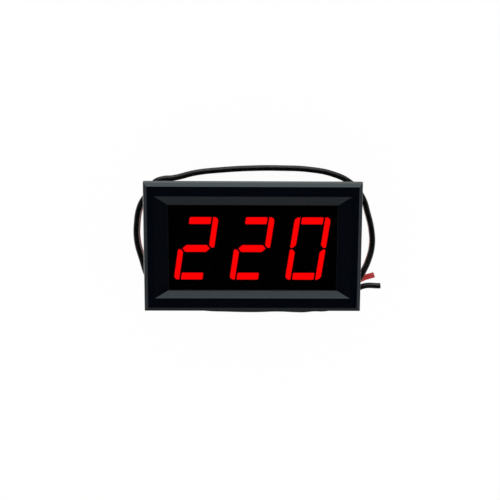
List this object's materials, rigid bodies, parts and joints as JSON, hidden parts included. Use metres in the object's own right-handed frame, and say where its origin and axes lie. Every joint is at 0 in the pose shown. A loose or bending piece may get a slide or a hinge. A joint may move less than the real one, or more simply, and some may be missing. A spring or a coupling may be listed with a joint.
{
  "type": "digital panel meter",
  "caption": "Snap-in LED panel meter with a bevelled black bezel, slanted glowing red digits and a pair of leads looped round its case.",
  "frame": {"origin": "middle of the case, on the plane of its rear rim", "axes": "+Z the way the digits face, +Y up the digits, +X to the right of someone reading them"},
  "size_m": [0.0605, 0.0362, 0.021],
  "materials": {
    "case": "fine matte moulded finish",
    "filter": "polished smoked red acrylic",
    "display_shell": "matte black",
    "lit_segment": "glowing diffused resin",
    "unlit_segment": "dark diffused resin",
    "led_die": "bare die",
    "substrate": "glass-fibre laminate",
    "potting": "cast resin",
    "tinned_metal": "tinned wire",
    "solder": "bright solder",
    "board": "green solder mask over fibreglass",
    "package": "black moulding compound",
    "film_capacitor": "dipped resin",
    "can_sleeve": "shrink sleeve",
    "bung": "matte rubber",
    "resistor_body": "lacquered",
    "chip_ceramic": "fired ceramic",
    "trimmer_body": "moulded",
    "trimmer_rotor": "moulded",
    "copper_core": "tinned copper strands",
    "red_insulation": "extruded vinyl",
    "black_insulation": "extruded vinyl"
  },
  "bodies": {
    "meter": {"case": "case", "filter_window": "filter", "display_housing": "display_shell", "digit_1_lit": "lit_segment", "digit_2_lit": "lit_segment", "digit_3_lit": "lit_segment", "unlit_segments": "unlit_segment", "decimal_points": "unlit_segment", "led_dies": "led_die", "display_substrate": "substrate", "display_potting": "potting", "display_pins": "tinned_metal", "pin_solder": "solder", "main_board": "board", "microcontroller": "package", "microcontroller_legs": "tinned_metal", "bridge_rectifier": "package", "rectifier_legs": "tinned_metal", "voltage_regulator": "package", "regulator_legs": "tinned_metal", "dropper_capacitor": "film_capacitor", "dropper_legs": "tinned_metal", "reservoir_capacitor": "can_sleeve", "reservoir_bung": "bung", "reservoir_legs": "tinned_metal", "fusible_resistor": "resistor_body", "resistor_legs": "tinned_metal", "leg_solder": "solder", "chip_resistors": "package", "chip_resistor_ends": "solder", "chip_capacitors": "chip_ceramic", "chip_capacitor_ends": "solder", "trimmer_base": "trimmer_body", "trimmer_pins": "tinned_metal", "lead_cores": "copper_core", "lead_solder": "solder", "red_lead": "red_insulation", "black_lead": "black_insulation"},
    "rotor": {"trimmer_rotor": "trimmer_rotor"}
  },
  "joints": [
    {"name": "trimmer_turn", "type": "hinge", "parent": "meter", "child": "rotor", "pos_m": [0.0156, 0.0066, 0.0042], "axis": [0, 0, -1], "range_deg": [-130, 130]}
  ]
}
